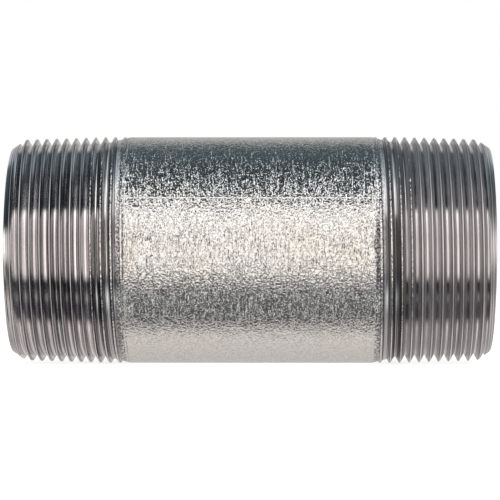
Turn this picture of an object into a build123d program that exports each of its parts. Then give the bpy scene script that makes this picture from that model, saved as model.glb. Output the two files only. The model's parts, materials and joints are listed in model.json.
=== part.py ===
from build123d import *
from math import atan, cos, degrees, radians, sqrt, tan
import os

# A galvanised steel pipe nipple: nominal size 2-1/2, 6 inches long, with an outside taper pipe thread on both ends.
# The pipe lies along X and the origin is the middle of its bore. Every length is in millimetres.

inch = 25.4

# The pipe: schedule 40, cut a little long, as its 1/16 inch length tolerance allows.
outside_diameter = 2.875 * inch
wall = 0.203 * inch
length = 6 * inch + 1.5
outside_radius = outside_diameter / 2
bore_radius = outside_radius - wall
left_end = -length / 2

# The zinc that the hot dip leaves on both walls.
zinc = 0.08
coated_radius = outside_radius + zinc

# The thread: 8 turns per inch, 60 degree flanks, and a radius that grows by 1 in 32 away from the end.
pitch = inch / 8
taper = 1 / 32
flank_slope = tan(radians(30))
root_flat = 0.12
crest_flat = 0.25
pitch_radius = (outside_diameter - (0.05 * outside_diameter / inch + 1.1) * pitch) / 2
root_radius = pitch_radius - (pitch / 2 - root_flat) / 2 / flank_slope
crest_radius = pitch_radius + (pitch / 2 - crest_flat) / 2 / flank_slope

# Along the top of the pipe the crests stand 0.38 of a pitch, then whole pitches, in from the end. The groove between
# them starts off the end of the pipe and goes on past the throat.
crest_from_end = 0.38 * pitch
groove_start = left_end + crest_from_end - 1.5 * pitch
groove_turns = 14

# The right thread starts this many degrees further round than the left one.
right_roll = 74

# The throat of the die is a cone that lifts the bottom of the groove out of the metal, with no change to its flanks.
throat_slope = 0.25
throat_end = left_end + 38.0

# Only the plain middle is a true cylinder. It starts just past the throat, and from there the threading has drawn each
# end in by a hair.
past_throat = 0.8
plain_start = throat_end + past_throat
draw_in = 0.02

# The ends: turned to the crests, bevelled outside and reamed inside.
bevel_radius = 33.0
bevel_slope = tan(radians(35))
cone_overrun = 0.3
ream = 0.7

# The low ridge that the lengthwise weld leaves in the bore, up on the far side. Its top is scarfed flat, and the wall
# is flat under it.
bead_width = 3.0
bead_top_width = 1.6
bead_height = 0.15
bead_angle = 55
bead_foot = sqrt(bore_radius**2 - (bead_width / 2) ** 2)
bead_top = bore_radius - bead_height

# How far a cutting shape reaches past the metal that it cuts.
spare = 3.0


def cut_both_ends(*tools):
    """Cut with tools made for the left end. Turned half round about Z and rolled about X, each fits the right end."""
    for tool in tools:
        for roll, half_turn in ((0, 0), (right_roll, 180)):
            add(tool.part, rotation=(roll, 0, half_turn), mode=Mode.SUBTRACT)


def turned_about_axis(points):
    """Turn a closed outline round the axis of the pipe."""
    with BuildSketch(Plane.XY) as section:
        with BuildLine():
            Polyline(*points, close=True)
        make_face()
    revolve(section.sketch, axis=Axis.X)


# The V of the thread follows a right-hand helix that widens with the taper. Its walls stand upright above the crests.
cone_angle = atan(taper)
with BuildLine() as root_line:
    Helix(
        pitch=pitch / cos(cone_angle),
        height=groove_turns * pitch,
        radius=root_radius + (groove_start - left_end) * taper,
        center=(groove_start, 0, 0),
        direction=(1, 0, 0),
        cone_angle=degrees(cone_angle),
    )

half_root = root_flat / 2
crest_height = crest_radius - root_radius
half_mouth = half_root + crest_height * flank_slope
with BuildSketch(Plane(origin=root_line.line @ 0, x_dir=(1, 0, 0), z_dir=(0, -1, 0))) as groove_section:
    with BuildLine():
        Polyline(
            (-half_root, 0),
            (half_root, 0),
            (half_mouth, crest_height),
            (half_mouth, crest_height + spare),
            (-half_mouth, crest_height + spare),
            (-half_mouth, crest_height),
            close=True,
        )
    make_face()

# The space that the die cuts away: the swept V, less what lies inside the throat.
throat_start = throat_end - (coated_radius - root_radius) / throat_slope
with BuildPart() as throat:
    turned_about_axis(
        [
            (throat_start, 0),
            (throat_start, root_radius),
            (throat_end + 2 * spare, coated_radius + 2 * spare * throat_slope),
            (throat_end + 2 * spare, 0),
        ]
    )

with BuildPart() as thread_groove:
    sweep(groove_section.sketch, path=root_line.wires()[0], is_frenet=True)
    add(throat.part, mode=Mode.SUBTRACT)


# What is turned off the outside of an end: a bevel, then a slim cone down to the crests until it leaves the zinc.
bevel_length = (crest_radius - bevel_radius) / (bevel_slope - taper)
cone_length = (coated_radius + cone_overrun - crest_radius) / taper
with BuildPart() as end_turning:
    turned_about_axis(
        [
            (left_end - spare, bevel_radius - spare * bevel_slope),
            (left_end + bevel_length, bevel_radius + bevel_length * bevel_slope),
            (left_end + cone_length, coated_radius + cone_overrun),
            (left_end + cone_length, coated_radius + spare),
            (left_end - spare, coated_radius + spare),
        ]
    )

# What is reamed off the edge of the bore.
with BuildPart() as end_reaming:
    turned_about_axis(
        [
            (left_end - spare, bore_radius + ream + spare),
            (left_end + ream + spare, bore_radius - spare),
            (left_end - spare, bore_radius - spare),
        ]
    )


def outside_line(radius):
    """The outside of a drawn-in tube, from its left end to its right one, as points of a section through the axis."""
    return [
        (left_end, radius - draw_in),
        (plain_start, radius),
        (-plain_start, radius),
        (-left_end, radius - draw_in),
    ]


# The section of the bore, with its flat down below, and the section of the ridge that stands on the flat.
with BuildSketch() as bore_section:
    Circle(bore_radius)
    with Locations((0, -bead_foot)):
        Rectangle(outside_diameter, spare, align=(Align.CENTER, Align.MAX), mode=Mode.SUBTRACT)

with BuildSketch() as bead_section:
    with BuildLine():
        Polyline(
            (-bead_width / 2, -bead_foot),
            (bead_width / 2, -bead_foot),
            (bead_top_width / 2, -bead_top),
            (-bead_top_width / 2, -bead_top),
            close=True,
        )
    make_face()

# Welded steel tube, with both threads, both bevels and both reamed edges cut into it.
with BuildPart() as steel_pipe:
    turned_about_axis([(left_end, 0), *outside_line(outside_radius), (-left_end, 0)])
    with BuildSketch(Plane.YZ.offset(left_end)):
        add(bore_section.sketch, rotation=bead_angle + 90)
    extrude(amount=length, mode=Mode.SUBTRACT)
    cut_both_ends(thread_groove, end_turning, end_reaming)

# Zinc on the outside. The grooves leave it as spiral ribbons on the crests where the thread runs out.
with BuildPart() as outer_zinc_coat:
    turned_about_axis(outside_line(coated_radius) + outside_line(outside_radius)[::-1])
    cut_both_ends(thread_groove, end_turning)

# The ridge of weld metal, from one reamed edge to the other.
with BuildPart() as weld_bead:
    with BuildSketch(Plane.YZ.offset(left_end)):
        add(bead_section.sketch, rotation=bead_angle + 90)
    extrude(amount=length)
    cut_both_ends(end_reaming)

# Zinc in the bore. It follows the wall and goes over the ridge.
with BuildPart() as inner_zinc_coat:
    with BuildSketch(Plane.YZ.offset(left_end)):
        add(bore_section.sketch, rotation=bead_angle + 90)
        add(bead_section.sketch, rotation=bead_angle + 90, mode=Mode.SUBTRACT)
        offset(amount=-zinc, mode=Mode.SUBTRACT)
    extrude(amount=length)
    cut_both_ends(end_reaming)

pieces = {
    "steel_pipe": steel_pipe,
    "outer_zinc_coat": outer_zinc_coat,
    "inner_zinc_coat": inner_zinc_coat,
    "weld_bead": weld_bead,
}

os.makedirs("parts", exist_ok=True)
for name, piece in pieces.items():
    piece.part.label = name
    export_step(piece.part, f"parts/{name}.step")
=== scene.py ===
import json
from math import cos, pi, radians, sin, tan

import bmesh
import bpy
import numpy as np
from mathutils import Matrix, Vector


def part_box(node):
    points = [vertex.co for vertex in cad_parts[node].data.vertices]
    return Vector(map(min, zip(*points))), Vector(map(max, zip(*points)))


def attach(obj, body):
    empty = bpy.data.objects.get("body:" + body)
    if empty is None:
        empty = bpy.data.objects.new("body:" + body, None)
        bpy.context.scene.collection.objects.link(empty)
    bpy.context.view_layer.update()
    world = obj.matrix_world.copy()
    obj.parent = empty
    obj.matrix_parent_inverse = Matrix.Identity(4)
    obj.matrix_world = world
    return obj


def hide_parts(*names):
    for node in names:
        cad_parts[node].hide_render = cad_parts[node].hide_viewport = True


# The looks of a galvanised pipe nipple. Lengths are in metres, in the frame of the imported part: the pipe lies
# along X, its left end is at low X, and the middle of its bore is the origin.

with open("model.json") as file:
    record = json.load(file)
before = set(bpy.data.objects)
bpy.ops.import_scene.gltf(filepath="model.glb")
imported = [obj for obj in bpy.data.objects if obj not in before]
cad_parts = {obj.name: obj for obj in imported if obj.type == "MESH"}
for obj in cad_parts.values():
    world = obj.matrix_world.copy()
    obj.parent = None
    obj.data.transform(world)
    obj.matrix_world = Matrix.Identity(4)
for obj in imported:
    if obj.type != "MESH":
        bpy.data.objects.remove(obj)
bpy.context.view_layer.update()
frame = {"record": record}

mm = 0.001
inch = 25.4 * mm

# ----------------------------------------------------------------------------------------------------------
# Sizes. The frame gives the pipe's own, and the rest are those of the real thread, ends and weld.

mounts = {mount["name"]: mount["dims"] for mount in frame["record"]["mounts"]}
pipe_low, pipe_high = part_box("steel_pipe")
left_end = pipe_low.x
length = pipe_high.x - pipe_low.x

zinc = 0.08 * mm
coated_radius = mounts["pipe_body"]["r_mm"] * mm
steel_radius = coated_radius - zinc
coated_bore_radius = mounts["bore"]["r_mm"] * mm
bore_radius = coated_bore_radius + zinc

# The thread: 8 turns per inch, 60 degree flanks, and a radius that grows by 1 in 32 away from the end.
pitch = inch / 8
taper = 1 / 32
flank_slope = tan(radians(30))
root_flat = 0.12 * mm
crest_flat = 0.25 * mm
pitch_radius = mounts["left_thread"]["r_mm"] * mm
root_radius = pitch_radius - (pitch / 2 - root_flat) / 2 / flank_slope
crest_radius = pitch_radius + (pitch / 2 - crest_flat) / 2 / flank_slope

# Along the top of the left end the crests stand 0.38 of a pitch, then whole pitches, in from the end. The
# groove between them starts off the end of the pipe.
crest_from_end = 0.38 * pitch
groove_start = crest_from_end - 1.5 * pitch

# The throat of the die is a cone that lifts the bottom of the groove out of the metal.
throat_slope = 0.25
throat_end = mounts["left_thread"]["length_mm"] * mm

# The right thread starts this much further round than the left one.
right_roll = radians(74)

# The ends are bevelled outside and reamed inside.
bevel_radius = 33.0 * mm
bevel_slope = tan(radians(35))
ream = 0.7 * mm

# The ridge that the weld leaves along the bore.
bead_width = 3.0 * mm
bead_top_width = 1.6 * mm
bead_height = 0.15 * mm
bead_angle = radians(55)

# How finely the surfaces are divided. The right end's roll is a whole number of steps round. The zinc starts
# a least step past the line where it has no thickness.
steps_round = 180
body_step = 0.4 * mm
least_step = 0.06 * mm
rows_across = 7
middle_rows = 9
bore_rows = 17

# Points closer together than this are one point.
join_within = 0.0005 * mm

rng = np.random.default_rng(7)


# ----------------------------------------------------------------------------------------------------------
# The form of the thread. Here s is how far in from the end a point is, and a groove is known by its turn,
# counted from the groove's start at the top of the pipe.


def groove_place(turn):
    """How far in from the end the middle of the groove is."""
    return groove_start + turn * pitch


def top_radius(s, blank):
    """Radius of the metal between the grooves: the bevel, then the crests' cone, then the blank tube."""
    return np.minimum(np.minimum(bevel_radius + bevel_slope * s, crest_radius + taper * s), blank)


def throat_radius(s):
    """Radius of the cone that lifts the bottom of the groove."""
    return coated_radius + throat_slope * (s - throat_end)


def groove_radius(turn, s):
    """Radius of one turn of the groove: its bottom and two flanks, with what the throat leaves standing."""
    off_middle = abs(s - groove_place(turn))
    climb = np.maximum(off_middle - root_flat / 2, 0) / flank_slope
    return np.maximum(root_radius + taper * groove_place(turn) + climb, throat_radius(s))


def flank_meets(turn, side, radius_there):
    """Where the flank at higher (1) or lower (-1) s comes up to a surface, given by its radius at s."""
    middle = groove_place(turn)
    reach = root_flat / 2 + 0 * turn
    rounds_to_settle = 30
    for _ in range(rounds_to_settle):
        climb = radius_there(middle + side * reach) - (root_radius + taper * middle)
        reach = root_flat / 2 + np.maximum(climb, 0) * flank_slope
    return middle + side * reach


def groove_edges(turn, blank):
    """The four edges of one turn of the groove, by their s: mouth, bottom, bottom, mouth.

    A groove that the throat has closed has no width.
    """
    mouth_from = flank_meets(turn, -1, lambda s: top_radius(s, blank))
    mouth_to = flank_meets(turn, 1, lambda s: top_radius(s, blank))
    bottom_from = flank_meets(turn, -1, throat_radius)
    bottom_to = flank_meets(turn, 1, throat_radius)
    throat_leaves = throat_end - (coated_radius - blank) / throat_slope
    mouth_to = np.maximum(np.minimum(mouth_to, throat_leaves), mouth_from)
    bottom_from = np.clip(bottom_from, mouth_from, mouth_to)
    bottom_to = np.clip(bottom_to, mouth_from, mouth_to)
    return mouth_from, bottom_from, bottom_to, mouth_to


# The whole outside of one end, from the end face to just past the throat, follows the thread.
spiral_end = throat_end + 0.6 * pitch
turns_kept = int(np.ceil((spiral_end - groove_start) / pitch)) + 1


def thread_rows(shares, turns, blank):
    """Rows of points that follow the thread, as arrays of s and radius.

    shares says where the rows lie: (0, f) on the flank that rises to higher s, (1, f) on the land between
    this turn of the groove and the next, (2, f) on the flank that falls to the next, (3, f) on its bottom.
    """
    _, _, rise_from, rise_to = groove_edges(turns, blank)
    fall_from, fall_to, bottom_to, _ = groove_edges(turns + 1, blank)
    stretches = ((rise_from, rise_to), (rise_to, fall_from), (fall_from, fall_to), (fall_to, bottom_to))
    places, radii = [], []
    for part, f in shares:
        start, stop = stretches[part]
        s = np.clip(start + f * (stop - start), 0, spiral_end)
        top = top_radius(s, blank)
        places.append(s)
        radii.append(top if part == 1 else np.minimum(groove_radius(turns + (part > 1), s), top))
    return np.stack(places), np.stack(radii)


# ----------------------------------------------------------------------------------------------------------
# Meshes. A grid is an array of points, rows by columns by 3. Its columns follow one another round the pipe.


def round_angles():
    """The angle of each step round the pipe, from +Y towards +Z, starting at the top."""
    return pi / 2 + 2 * pi * np.arange(steps_round + 1) / steps_round


def turns_of(turn):
    """How many turns the groove has made at each step of one turn."""
    return turn + np.arange(steps_round + 1) / steps_round


def on_pipe(s, radius, angle):
    """Points of the pipe, s in from its left end."""
    return np.stack([left_end + s + 0 * angle, radius * np.cos(angle), radius * np.sin(angle)], axis=-1)


def ring_rows(profile):
    """Rows of points round the pipe from (s, radius) pairs."""
    angle = round_angles()
    return np.stack([on_pipe(np.full_like(angle, s), radius, angle) for s, radius in profile])


def plain_tube(radius, margin, rows):
    """Rows of points round a cylinder that stops short of each end of the pipe by margin."""
    return ring_rows([(s, radius) for s in np.linspace(margin, length - margin, rows)])


def grid_faces(rows, columns):
    """Quads between neighbouring points of a grid, as numbers of its points in row order."""
    corner = (np.arange(rows - 1)[:, None] * columns + np.arange(columns - 1)[None, :]).ravel()
    return np.stack([corner, corner + columns, corner + columns + 1, corner + 1], axis=1)


def at_right_end(points):
    """Turn points of the left end half round about Z and roll them about X, as the right end needs."""
    x, y, z = points[..., 0], points[..., 1], points[..., 2]
    rolled_y = -y * cos(right_roll) - z * sin(right_roll)
    rolled_z = z * cos(right_roll) - y * sin(right_roll)
    return np.stack([-x, rolled_y, rolled_z], axis=-1)


class Shell:
    """Collects grids of points and joins them into one closed mesh."""

    def __init__(self):
        self.points, self.faces, self.count = [], [], 0

    def add(self, points, faces=None, turned=False):
        """Add a grid made for the left end, with all its faces or some, or turn it to the right end first."""
        rows, columns = points.shape[:2]
        faces = grid_faces(rows, columns) if faces is None else faces
        if turned:
            points = at_right_end(points)
        self.points.append(points.reshape(-1, 3))
        self.faces.append(faces + self.count)
        self.count += rows * columns

    def add_pair(self, outer, inner):
        """Add two grids that face each other, and the walls that join their first rows and their last."""
        self.add(outer)
        self.add(inner)
        for row in (0, -1):
            self.add(np.stack([outer[row], inner[row]]))

    def build(self, name, crease):
        """Make the Blender object. Its edges are sharp where two faces meet at more than the crease angle."""
        mesh = bpy.data.meshes.new(name)
        mesh.from_pydata(np.concatenate(self.points).tolist(), [], np.concatenate(self.faces).tolist())
        work = bmesh.new()
        work.from_mesh(mesh)
        bmesh.ops.remove_doubles(work, verts=work.verts, dist=join_within)
        bmesh.ops.recalc_face_normals(work, faces=work.faces)
        work.to_mesh(mesh)
        work.free()
        mesh.shade_smooth()
        mesh.set_sharp_from_angle(angle=crease)
        made = bpy.data.objects.new(name, mesh)
        bpy.context.scene.collection.objects.link(made)
        return made


# ----------------------------------------------------------------------------------------------------------
# The steel.


def steel_end():
    """The outside of the steel's left end."""
    quarters = (0, 0.25, 0.5, 0.75)
    thirds = (0, 1 / 3, 2 / 3)
    shares = [(0, f) for f in quarters] + [(1, f) for f in thirds] + [(2, f) for f in quarters] + [(3, 0)]
    angle = round_angles()
    grids = []
    for turn in range(turns_kept):
        s, radius = thread_rows(shares, turns_of(turn), steel_radius)
        grids.append(on_pipe(s, radius, angle[None, :]))
    return np.concatenate(grids)


def steel_pipe():
    """The steel: both threaded ends with their faces, the plain middle and the bore."""
    shell = Shell()
    thread = steel_end()
    end_face = ring_rows(
        [
            (0, bevel_radius),
            (0, (bevel_radius + bore_radius + ream) / 2),
            (0, bore_radius + ream),
            (ream / 2, bore_radius + ream / 2),
            (ream, bore_radius),
        ]
    )
    for turned in (False, True):
        shell.add(thread, turned=turned)
        shell.add(end_face, turned=turned)
    shell.add(plain_tube(steel_radius, spiral_end, middle_rows))
    shell.add(plain_tube(bore_radius, ream, bore_rows))
    return shell.build("steel_pipe_threaded", crease=radians(20))


# ----------------------------------------------------------------------------------------------------------
# The outer zinc.

# Its waves. Along the pipe they spread by waves_along, in radians per metre. A wave of half_size_at, in the
# same unit, has half the size of a long one.
wave_count = 60
most_waves_round = 25
waves_along = 180
half_size_at = 400
wave_height = 0.0022 * mm


def zinc_waves(points):
    """How far the zinc stands above or below its mean radius: long, low waves that meet up all round."""
    angle = np.arctan2(points[..., 2], points[..., 1])
    x = points[..., 0]
    height = 0 * x
    for _ in range(wave_count):
        waves_round = rng.integers(0, most_waves_round + 1)
        along = rng.normal(0, waves_along)
        size = 1 / (1 + (np.hypot(waves_round / coated_radius, along) / half_size_at) ** 2)
        height += size * np.cos(waves_round * angle + along * x + rng.uniform(0, 2 * pi))
    return height * wave_height


def add_waves(mesh):
    """Move the outer face of the zinc by its waves, and leave its inner face on the steel."""
    points = np.empty(len(mesh.vertices) * 3)
    mesh.vertices.foreach_get("co", points)
    points = points.reshape(-1, 3)
    radius = np.hypot(points[:, 1], points[:, 2])
    lift = np.clip((radius - steel_radius) / zinc, 0, 1) * zinc_waves(points)
    points[:, 1:] *= ((radius + lift) / radius)[:, None]
    mesh.vertices.foreach_set("co", points.ravel())
    mesh.update()


def zinc_turn(shell, turn, turned):
    """One turn of the zinc between two turns of the groove: both its faces and a wall at each edge.

    The zinc starts where the cone of the crests comes out of the steel. Where a groove is too shallow to
    reach the steel, its walls stand upright.
    """
    coat_start = (steel_radius - crest_radius) / taper + least_step
    across = np.linspace(0, 1, rows_across)
    shares = [(1, f) for f in across]
    angle = round_angles()
    turns = turns_of(turn)
    edges = ((0, turns), (-1, turns + 1))
    outer_s, _ = thread_rows(shares, turns, coated_radius)
    inner_s, _ = thread_rows(shares, turns, steel_radius)
    starts_later = outer_s[-1] <= coat_start
    if starts_later.all():
        return

    # The edges of the inner face: a groove's own edge where it reaches the steel, or else its wall's foot.
    inner_ends = []
    for row, groove_turns in edges:
        mouth_from, _, _, mouth_to = groove_edges(groove_turns, steel_radius)
        inner_ends.append(np.where(mouth_to > mouth_from, inner_s[row], outer_s[row]))
    inner_s = inner_ends[0] + across[:, None] * (inner_ends[1] - inner_ends[0])
    outer_s = np.maximum(outer_s, coat_start)
    inner_s = np.where(starts_later, coat_start, np.maximum(inner_s, coat_start))
    outer = on_pipe(outer_s, top_radius(outer_s, coated_radius), angle[None, :])
    inner = on_pipe(inner_s, top_radius(inner_s, steel_radius), angle[None, :])

    # Steps round the pipe where the zinc hasn't started are left out, and so are the walls of closed grooves.
    kept = ~(starts_later[:-1] & starts_later[1:])
    for grid in (outer, inner):
        faces = grid_faces(*grid.shape[:2])[np.tile(kept, len(grid) - 1)]
        shell.add(grid, faces=faces, turned=turned)
    for row, groove_turns in edges:
        mouth_from, _, _, mouth_to = groove_edges(groove_turns, coated_radius)
        has_wall = (mouth_to > mouth_from + 2 * join_within) | (outer_s[row] <= coat_start)
        wall = np.stack([outer[row], inner[row]])
        faces = grid_faces(*wall.shape[:2])[kept & (has_wall[:-1] | has_wall[1:])]
        shell.add(wall, faces=faces, turned=turned)


def zinc_coat():
    """The outer zinc: ribbons on the crests of both ends, and the sleeve round the plain middle."""
    shell = Shell()
    for turned in (False, True):
        for turn in range(turns_kept):
            zinc_turn(shell, turn, turned)
    sleeve_length = length - 2 * spiral_end
    shell.add(plain_tube(coated_radius, spiral_end, round(sleeve_length / body_step) + 1))
    shell.add(plain_tube(steel_radius, spiral_end, middle_rows))
    made = shell.build("outer_zinc_skin", crease=radians(30))
    add_waves(made.data)
    return made


# ----------------------------------------------------------------------------------------------------------
# The bore: its lining and the ridge of the weld.


def steel_wall(s, angle):
    """Radius of the bore and of the weld's ridge on it."""
    off_ridge = (angle - bead_angle + pi) % (2 * pi) - pi
    off_ridge = abs(off_ridge) * bore_radius
    share = np.clip((bead_width / 2 - off_ridge) / ((bead_width - bead_top_width) / 2), 0, 1)
    return bore_radius - bead_height * share * share * (3 - 2 * share)


def plain_wall(s, angle):
    """Radius of the bore under the ridge."""
    return bore_radius + 0 * angle


def lined_wall(s, angle):
    """Radius of the zinc in the bore, with the low drips that the dip leaves. They fade out at the ends."""
    drip_height = 0.03 * mm
    drip = drip_height * np.sin(3 * angle + 40 * s) * np.sin(70 * s + 2 * angle)
    fade = np.clip(min(s, length - s) / (3 * mm) - 0.5, 0, 1)
    return steel_wall(s, angle) - zinc + drip * fade


def bore_grid(radius, angle, rows):
    """Rows of points along the bore, from one reamed edge to the other, at these angles round it."""
    stations = np.linspace(ream, length - ream, rows)
    return np.stack([on_pipe(np.full_like(angle, s), radius(s, angle), angle) for s in stations])


def bore_lining():
    """The zinc in the bore. Its columns are close together over the ridge."""
    ridge_columns, other_columns, rows = 33, 160, 150
    reach = 0.7 * bead_width / bore_radius
    ridge = bead_angle + np.linspace(-reach, reach, ridge_columns)
    rest = np.linspace(ridge[-1], ridge[0] + 2 * pi, other_columns)[1:-1]
    angle = np.concatenate([ridge, rest, ridge[:1] + 2 * pi])
    shell = Shell()
    shell.add_pair(bore_grid(steel_wall, angle, rows), bore_grid(lined_wall, angle, rows))
    return shell.build("bore_zinc_lining", crease=radians(40))


def weld_ridge():
    """The ridge of the weld, which the lining goes over."""
    columns, rows = 17, 120
    reach = 0.5 * bead_width / bore_radius
    angle = bead_angle + np.linspace(-reach, reach, columns)
    shell = Shell()
    shell.add_pair(bore_grid(steel_wall, angle, rows), bore_grid(plain_wall, angle, rows))
    return shell.build("weld_ridge", crease=radians(40))


# ----------------------------------------------------------------------------------------------------------
# Nodes. A value that goes into one is a number, a tuple or the socket that feeds it.


def feed(tree, socket, value):
    """Link a socket, or set it."""
    if isinstance(value, bpy.types.NodeSocket):
        tree.links.new(value, socket)
    else:
        socket.default_value = value


def add_node(tree, kind, inputs=None, **settings):
    """Add a node. inputs maps a socket's name or number to its value."""
    made = tree.nodes.new(kind)
    for name, value in settings.items():
        setattr(made, name, value)
    for name, value in (inputs or {}).items():
        feed(tree, made.inputs[name], value)
    return made


def compute(tree, operation, *values):
    """The result of one piece of arithmetic."""
    return add_node(tree, "ShaderNodeMath", dict(enumerate(values)), operation=operation).outputs[0]


def spread(tree, value, low, high, to_low=0.0, to_high=1.0):
    """Stretch low..high to to_low..to_high, and hold it there."""
    inputs = {"Value": value, "From Min": low, "From Max": high, "To Min": to_low, "To Max": to_high}
    return add_node(tree, "ShaderNodeMapRange", inputs).outputs["Result"]


def blend(tree, share, first, second):
    """The first number where share is 0, the second where it is 1, and a mixture in between."""
    return spread(tree, share, 0, 1, first, second)


def blend_colours(tree, share, first, second):
    """As blend, with colours."""
    made = add_node(tree, "ShaderNodeMix", {"Factor": share, 6: first, 7: second}, data_type="RGBA")
    return made.outputs[2]


def multiplied(tree, first, second):
    """Two vectors or colours multiplied part by part. A number stands for three equal parts."""
    return add_node(tree, "ShaderNodeVectorMath", {0: first, 1: second}, operation="MULTIPLY").outputs[0]


def axes(tree, vector):
    """The three parts of a vector."""
    split = add_node(tree, "ShaderNodeSeparateXYZ", {0: vector})
    return [split.outputs[i] for i in range(3)]


def noise(tree, vector, scale, detail=2.0, roughness=0.5, distortion=0.0):
    """Noise from 0 to 1, with scale cells to the metre."""
    inputs = {"Vector": vector, "Scale": scale, "Detail": detail, "Roughness": roughness}
    inputs["Distortion"] = distortion
    return add_node(tree, "ShaderNodeTexNoise", inputs).outputs["Fac"]


def ramp(tree, share, stops):
    """What follows (share, value) stops, whose values are numbers or colours."""
    made = add_node(tree, "ShaderNodeValToRGB", {0: share})
    marks = made.color_ramp.elements
    while len(marks) < len(stops):
        marks.new(0.5)
    for mark, (position, value) in zip(marks, stops):
        mark.position = position
        mark.color = (*np.broadcast_to(value, 3), 1)
    return made.outputs[0]


# ----------------------------------------------------------------------------------------------------------
# Materials. Sheen is how much light the bare metal sends back, from 0 to 1. On the steel's thread it also
# carries painted highlights and painted shade.


def new_material(name):
    """A metal, with its node tree, its shader and the place of the point being shaded."""
    made = bpy.data.materials.new(name)
    made.use_nodes = True
    tree = made.node_tree
    shader = tree.nodes["Principled BSDF"]
    shader.inputs["Metallic"].default_value = 1.0
    place = add_node(tree, "ShaderNodeTexCoord").outputs["Object"]
    return made, tree, shader, place


def set_shader(tree, shader, colour, roughness, height=None, bumps=0.0, strength=1.0):
    """Give the shader its colour and its roughness, and bumps this high where it has any."""
    feed(tree, shader.inputs["Base Color"], colour)
    feed(tree, shader.inputs["Roughness"], roughness)
    if height:
        inputs = {"Height": height, "Strength": strength, "Distance": bumps}
        feed(tree, shader.inputs["Normal"], add_node(tree, "ShaderNodeBump", inputs).outputs[0])


# Across the thread, from the root (0) to the crest (1): the sheen and the roughness at each end. The sheen is
# painted light: bright at the root and the crest as painted highlights, with dark lines of painted shade on the
# flanks.
left_sheen_painted_light = (
    (0, 0.98), (0.22, 0.98), (0.31, 0.34), (0.40, 0.80),
    (0.64, 0.76), (0.74, 0.20), (0.86, 0.34), (0.93, 1),
)
right_sheen_painted_light = (
    (0, 0.76), (0.22, 0.74), (0.31, 0.48), (0.40, 0.61),
    (0.64, 0.61), (0.74, 0.34), (0.86, 0.40), (0.93, 0.9),
)
left_roughness = ((0, 0.08), (0.3, 0.10), (0.88, 0.15), (0.93, 0.38))
right_roughness = ((0, 0.08), (0.18, 0.09), (0.26, 0.30), (0.86, 0.30), (0.93, 0.36))

# What the tool's lines do to the sheen, at their brightest and dullest. They tell more on the shallow turns,
# where they also darken the steel overall as painted shade over the painted root highlight.
line_bright, left_line_dull, right_line_dull = 1.22, 0.40, 0.70
shallow_from, shallow_to = throat_end - 11 * mm, throat_end - 8 * mm
shallow_bright, shallow_dull = 0.85, 0.25

# At its very end the thread is torn, with dark and bright specks.
torn_from, torn_to = throat_end - 3.5 * mm, throat_end - 1.5 * mm
torn_dark, torn_bright, torn_roughness = 0.22, 0.80, 0.22
torn_bumps, speck_bumps = 3, 0.12

# The flat faces of the pipe's ends, which are the steel inside this radius.
face_sheen, face_roughness = 0.62, 0.28
face_radius = bevel_radius - 0.05 * mm

# How many times a metre the rings, the specks and the patches change, and how fast the lines drift from one
# turn to the next.
ring_scale, speck_scale, patch_scale, line_drift = 9000.0, 1500.0, 150.0, 300.0

steel_tint = (1.0, 0.975, 0.985)
most_sheen = 0.98
steel_bumps = 0.10 * mm
left_bumps, right_bumps = 0.40, 0.25


def distance_from_axis(tree, place):
    """How far a point is from the pipe's axis."""
    off_axis = multiplied(tree, place, (0, 1, 1))
    return add_node(tree, "ShaderNodeVectorMath", {0: off_axis}, operation="LENGTH").outputs["Value"]


def thread_place(tree, place):
    """Where a point is: how far in from its end, which end that is, and how far across the thread.

    The left end is 0 and the right one 1. Across the thread, 0 is one root and 1 the next.
    """
    x, y, z = axes(tree, place)
    on_right = compute(tree, "GREATER_THAN", x, 0)
    s = compute(tree, "SUBTRACT", -left_end, compute(tree, "ABSOLUTE", x))

    # The angle round the pipe, with the right end's roll and half turn undone.
    roll = compute(tree, "MULTIPLY", on_right, right_roll)
    unrolled = compute(tree, "SUBTRACT", compute(tree, "ARCTAN2", z, y), roll)
    side = compute(tree, "SIGN", x)
    other_side = compute(tree, "MULTIPLY", side, -1)
    left_y = compute(tree, "MULTIPLY", other_side, compute(tree, "COSINE", unrolled))
    angle = compute(tree, "ARCTAN2", compute(tree, "SINE", unrolled), left_y)

    turns_in = compute(tree, "DIVIDE", compute(tree, "SUBTRACT", s, groove_start), pitch)
    turns_round = compute(tree, "DIVIDE", compute(tree, "SUBTRACT", angle, pi / 2), 2 * pi)
    return s, on_right, compute(tree, "FRACT", compute(tree, "SUBTRACT", turns_in, turns_round))


def tool_lines(tree, s, across, off_axis, on_thread):
    """Fine lines that follow the thread, and fine rings on the faces of the ends."""
    turn_angle = compute(tree, "MULTIPLY", across, 2 * pi)
    cosine, sine = compute(tree, "COSINE", turn_angle), compute(tree, "SINE", turn_angle)
    drift = compute(tree, "MULTIPLY", s, line_drift)
    helix = add_node(tree, "ShaderNodeCombineXYZ", {0: cosine, 1: sine, 2: drift}).outputs[0]
    rings = noise(tree, multiplied(tree, (ring_scale, 0, 0), off_axis), 1.0)
    return blend(tree, on_thread, rings, noise(tree, helix, 2.0, roughness=0.75))


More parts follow.
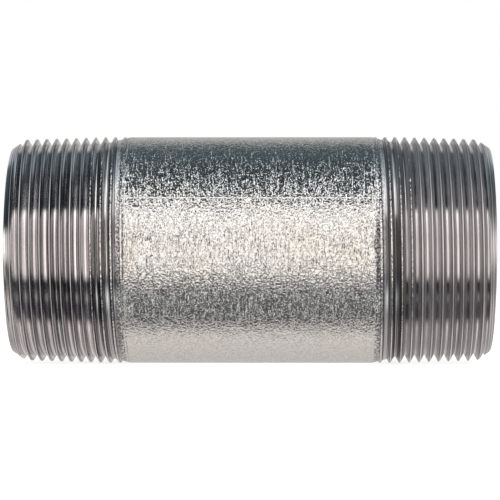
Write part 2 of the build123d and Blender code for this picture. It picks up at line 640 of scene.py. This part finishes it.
def steel_material():
    """Bright cut steel, which the die has left torn and speckled where the thread runs out. Across the thread
    its colour carries painted highlights and painted shade.
    """
    made, tree, shader, place = new_material("machined_steel")
    s, on_right, across = thread_place(tree, place)
    from_root = compute(tree, "MULTIPLY", compute(tree, "PINGPONG", across, 0.5), 2)
    off_axis = distance_from_axis(tree, place)
    on_thread = spread(tree, off_axis, face_radius, bevel_radius)
    shallow = spread(tree, s, shallow_from, shallow_to)
    torn = spread(tree, s, torn_from, torn_to)
    lines = tool_lines(tree, s, across, off_axis, on_thread)
    specks = noise(tree, place, speck_scale, detail=1.0)
    patches = noise(tree, place, patch_scale, detail=3.0)

    # Painted light across the thread: painted highlights at the roots and crests, painted shade lines on the
    # flanks.
    sheen = blend(tree, on_right, ramp(tree, from_root, left_sheen_painted_light), ramp(tree, from_root, right_sheen_painted_light))
    line_dull = blend(tree, on_right, left_line_dull, right_line_dull)
    line_sheen = spread(tree, lines, 0.36, 0.64, line_bright, line_dull)
    # The tool lines are marks; on the shallow turns they also darken the steel overall as painted shade.
    shallow_lines_and_painted_shade = blend(tree, shallow, 1, spread(tree, lines, 0.42, 0.56, shallow_bright, shallow_dull))
    sheen = compute(tree, "MULTIPLY", compute(tree, "MULTIPLY", sheen, line_sheen), shallow_lines_and_painted_shade)
    sheen = blend(tree, torn, sheen, spread(tree, specks, 0.45, 0.6, torn_dark, torn_bright))
    sheen = compute(tree, "MINIMUM", blend(tree, on_thread, face_sheen, sheen), most_sheen)

    left, right = ramp(tree, from_root, left_roughness), ramp(tree, from_root, right_roughness)
    roughness = blend(tree, torn, blend(tree, on_right, left, right), torn_roughness)
    roughness = blend(tree, on_thread, face_roughness, roughness)
    roughness = compute(tree, "ADD", roughness, spread(tree, patches, 0.3, 0.7, -0.02, 0.05))

    height = compute(tree, "ADD", lines, compute(tree, "MULTIPLY", specks, speck_bumps))
    height = blend(tree, torn, height, compute(tree, "MULTIPLY", specks, torn_bumps))
    strength = blend(tree, on_right, left_bumps, right_bumps)
    set_shader(tree, shader, multiplied(tree, steel_tint, sheen), roughness, height, steel_bumps, strength)
    return made


# How many times a metre the marks on the zinc change. The feathers are longer round the pipe than along it.
grain_scale, feather_scale, tinge_scale, dash_scale = 1600.0, 950.0, 70.0, 600.0
feather_shape = (1.0, 0.22, 0.22)
grain_bumps, feather_bumps = 0.75, 1.1
zinc_bumps = 0.2 * mm

# The zinc's colours. Its pits are darker than its grains, and some of it is tinged with yellow. The hairlines'
# paler colour is a painted highlight on their ridges.
pit_colour = (0.62, 0.615, 0.61, 1)
grain_colour = (0.76, 0.75, 0.73, 1)
tinge_colour = (0.74, 0.70, 0.60, 1)
hairline_highlight_colour = (0.88, 0.86, 0.83, 1)

# The hairlines are low ridges along the zinc: the angle round the pipe, from +Y towards +Z, which side of the
# ridge is the gentle one, and how unbroken the line is. Then the width of each side and the ridge's height.
hairlines = ((radians(153.3), -1, 0.8), (radians(-172.7), 1, 0.4))
gentle_side, steep_side, hairline_height = 0.4 * mm, 0.08 * mm, 0.4


def hairline(tree, place, angle, hairline_angle, lean, evenness):
    """Height of one hairline's ridge."""
    off_line = compute(tree, "SUBTRACT", angle, hairline_angle)
    off_line = compute(tree, "MULTIPLY", off_line, lean * coated_radius)
    gentle = spread(tree, off_line, -gentle_side, 0, 0, hairline_height)
    steep = spread(tree, off_line, 0, steep_side, hairline_height, 0)
    dashes = noise(tree, multiplied(tree, place, (1.0, 0.0, 0.0)), dash_scale, detail=1.0)
    dashes = compute(tree, "MAXIMUM", spread(tree, dashes, 0.45, 0.6), evenness)
    return compute(tree, "MULTIPLY", compute(tree, "MINIMUM", gentle, steep), dashes)


def zinc_material():
    """Hot-dip zinc: a fine crepe, feathery marks drawn round the pipe, and two hairlines along it, which are
    low ridges with a painted highlight.
    """
    made, tree, shader, place = new_material("spangled_zinc")
    _, y, z = axes(tree, place)
    angle = compute(tree, "ARCTAN2", z, y)
    grain = noise(tree, place, grain_scale, detail=0.0, distortion=0.5)
    drawn_out = multiplied(tree, place, feather_shape)
    feathers = noise(tree, drawn_out, feather_scale, detail=0.5, distortion=0.8)
    tinge = noise(tree, place, tinge_scale)

    colour = blend_colours(tree, spread(tree, grain, 0.35, 0.5), pit_colour, grain_colour)
    colour = blend_colours(tree, spread(tree, tinge, 0.5, 0.75, 0, 0.35), colour, tinge_colour)
    height = compute(tree, "MULTIPLY", grain, grain_bumps)
    height = compute(tree, "ADD", height, compute(tree, "MULTIPLY", feathers, feather_bumps))
    for facts in hairlines:
        ridge = hairline(tree, place, angle, *facts)
        # Each hairline's ridge is also painted paler: a painted highlight.
        colour = blend_colours(tree, spread(tree, ridge, 0.1, hairline_height), colour, hairline_highlight_colour)
        height = compute(tree, "ADD", height, ridge)
    roughness = spread(tree, feathers, 0.42, 0.58, 0.13, 0.19)
    set_shader(tree, shader, colour, roughness, height, zinc_bumps)
    return made


def bore_material():
    """The zinc in the bore, which is duller and blotched."""
    made, tree, shader, place = new_material("bore_zinc")
    blotches = noise(tree, place, 200.0, detail=4.0, roughness=0.6)
    pale, dark = (0.66, 0.67, 0.66, 1), (0.50, 0.51, 0.51, 1)
    colour = blend_colours(tree, spread(tree, blotches, 0.35, 0.65), pale, dark)
    roughness = spread(tree, blotches, 0.3, 0.7, 0.34, 0.52)
    blotch_bumps = 0.08 * mm
    set_shader(tree, shader, colour, roughness, blotches, blotch_bumps)
    return made


def weld_material():
    """The bare weld, rippled along its length."""
    made, tree, shader, place = new_material("weld_steel")
    ripples = noise(tree, multiplied(tree, place, (1.0, 3.0, 3.0)), 500.0, detail=3.0)
    dark, pale = (0.34, 0.33, 0.32, 1), (0.46, 0.44, 0.43, 1)
    roughness = spread(tree, ripples, 0.3, 0.7, 0.4, 0.55)
    set_shader(tree, shader, blend_colours(tree, ripples, dark, pale), roughness)
    return made


# ----------------------------------------------------------------------------------------------------------
# The pieces.

for piece, node, slot, material in (
    (steel_pipe(), "steel_pipe", "machined_steel", steel_material()),
    (zinc_coat(), "outer_zinc_coat", "spangled_zinc", zinc_material()),
    (bore_lining(), "inner_zinc_coat", "bore_zinc", bore_material()),
    (weld_ridge(), "weld_bead", "weld_steel", weld_material()),
):
    piece.data.materials.append(material)
    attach(piece, "root")
    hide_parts(node)

# ----------------------------------------------------------------------------------------------------------
# The studio: a pale floor and a white surround that only the camera sees, and soft light whose brightness
# depends on the direction round the pipe, from straight ahead of it, over the top, to behind it.

floor_gap = 0.02 * mm
floor_albedo = 0.8
floor_glow = 0.80
surround_radius = 6.5

# Angles in degrees above the view from the front, with the light that comes from there.
light_bands = (
    (-180, (0.62, 0.59, 0.57)),
    (-120, (0.72, 0.68, 0.66)),
    (-92, (0.92, 0.87, 0.83)),
    (-80, (0.10, 0.10, 0.11)),
    (-62, (0.07, 0.07, 0.08)),
    (-54, (0.28, 0.28, 0.27)),
    (-46, (0.05, 0.05, 0.06)),
    (-36, (0.03, 0.035, 0.045)),
    (-26, (1.30, 1.24, 1.19)),
    (-4, (1.42, 1.34, 1.29)),
    (15, (1.30, 1.23, 1.18)),
    (40, (1.74, 1.67, 1.63)),
    (47, (0.02, 0.03, 0.04)),
    (90, (0.035, 0.05, 0.06)),
    (115, (0.08, 0.11, 0.125)),
    (134, (0.08, 0.11, 0.125)),
    (146, (0.56, 0.56, 0.56)),
    (180, (0.62, 0.59, 0.57)),
)

# The soft boxes stand in three rows along the pipe, and this is the light that comes from between the rows.
gap_bands = (
    (-180, (0.60, 0.57, 0.55)),
    (-90, (0.60, 0.57, 0.55)),
    (-74, (0.44, 0.46, 0.48)),
    (-54, (1.30, 1.32, 1.30)),
    (-40, (0.42, 0.45, 0.48)),
    (-28, (0.03, 0.03, 0.04)),
    (34, (0.03, 0.03, 0.04)),
    (44, (2.10, 2.10, 2.10)),
    (72, (2.05, 2.10, 2.12)),
    (88, (0.85, 0.97, 1.04)),
    (128, (0.50, 0.59, 0.65)),
    (180, (0.60, 0.57, 0.55)),
)

# A ramp holds colours up to 1, so the bands are divided by this, and the world's strength multiplies by it.
brightest = 2.5

# Where a gap is, from square to the pipe (0) to along it (1): it starts, is full, still is, and ends.
gap_from, gap_full, gap_fades, gap_to = 0.22, 0.32, 0.50, 0.58


def bands(tree, share, table):
    """The light of a table of bands. share goes from 0 at -180 degrees to 1 at 180 degrees."""
    stops = []
    for degrees_up, colour in table:
        stops.append(((degrees_up + 180) / 360, [part / brightest for part in colour]))
    return ramp(tree, share, stops)


def studio_light():
    """The light, which comes from the world by direction."""
    world = bpy.data.worlds.new("studio")
    bpy.context.scene.world = world
    world.use_nodes = True
    tree = world.node_tree
    x, y, z = axes(tree, add_node(tree, "ShaderNodeTexCoord").outputs["Generated"])
    angle = compute(tree, "ARCTAN2", z, compute(tree, "MULTIPLY", y, -1))
    share = spread(tree, angle, -pi, pi)
    along = compute(tree, "ABSOLUTE", x)
    starts, ends = spread(tree, along, gap_from, gap_full), spread(tree, along, gap_fades, gap_to)
    gap = compute(tree, "SUBTRACT", starts, ends)
    background = tree.nodes["Background"]
    light = blend_colours(tree, gap, bands(tree, share, light_bands), bands(tree, share, gap_bands))
    feed(tree, background.inputs["Color"], light)
    feed(tree, background.inputs["Strength"], brightest)


def stage_material(name, glow, albedo):
    """A matt grey that also glows white by itself."""
    made = bpy.data.materials.new(name)
    made.use_nodes = True
    shader = made.node_tree.nodes["Principled BSDF"]
    shader.inputs["Base Color"].default_value = (albedo, albedo, albedo, 1)
    shader.inputs["Roughness"].default_value = 1.0
    shader.inputs["Specular IOR Level"].default_value = 0.0
    shader.inputs["Emission Color"].default_value = (1, 1, 1, 1)
    shader.inputs["Emission Strength"].default_value = glow
    return made


def floor_and_surround():
    """The floor and the surround. They show in the picture, but they light, shade and reflect in nothing."""
    place = (0, 0, -coated_radius - floor_gap)
    bpy.ops.mesh.primitive_circle_add(vertices=96, radius=surround_radius, fill_type="NGON", location=place)
    floor = bpy.context.object
    floor.name = "floor"
    floor.data.materials.append(stage_material("floor", floor_glow, floor_albedo))
    bpy.ops.mesh.primitive_uv_sphere_add(segments=64, ring_count=32, radius=surround_radius)
    surround = bpy.context.object
    surround.name = "surround"
    surround.data.materials.append(stage_material("surround", 1.0, 0.0))
    for piece in (floor, surround):
        piece.visible_diffuse = False
        piece.visible_glossy = False
        piece.visible_transmission = False
        piece.visible_volume_scatter = False
        piece.visible_shadow = False


def camera():
    """The camera, level with the pipe and nearly square to it."""
    distance = 0.80
    shown_width = 0.16234
    aim = Vector((-0.37 * mm, 0, 0))
    yaw = radians(0.8)
    data = bpy.data.cameras.new("camera")
    data.sensor_width = 36.0
    data.lens = data.sensor_width * distance / shown_width
    data.clip_start = 0.05
    data.clip_end = 2.2 * surround_radius
    made = bpy.data.objects.new("camera", data)
    bpy.context.scene.collection.objects.link(made)
    away = Vector((sin(yaw), -cos(yaw), 0))
    made.location = aim + away * distance
    made.rotation_mode = "QUATERNION"
    made.rotation_quaternion = (-away).to_track_quat("-Z", "Y")
    bpy.context.scene.camera = made


studio_light()
floor_and_surround()
camera()
bpy.context.scene.view_settings.view_transform = "Standard"
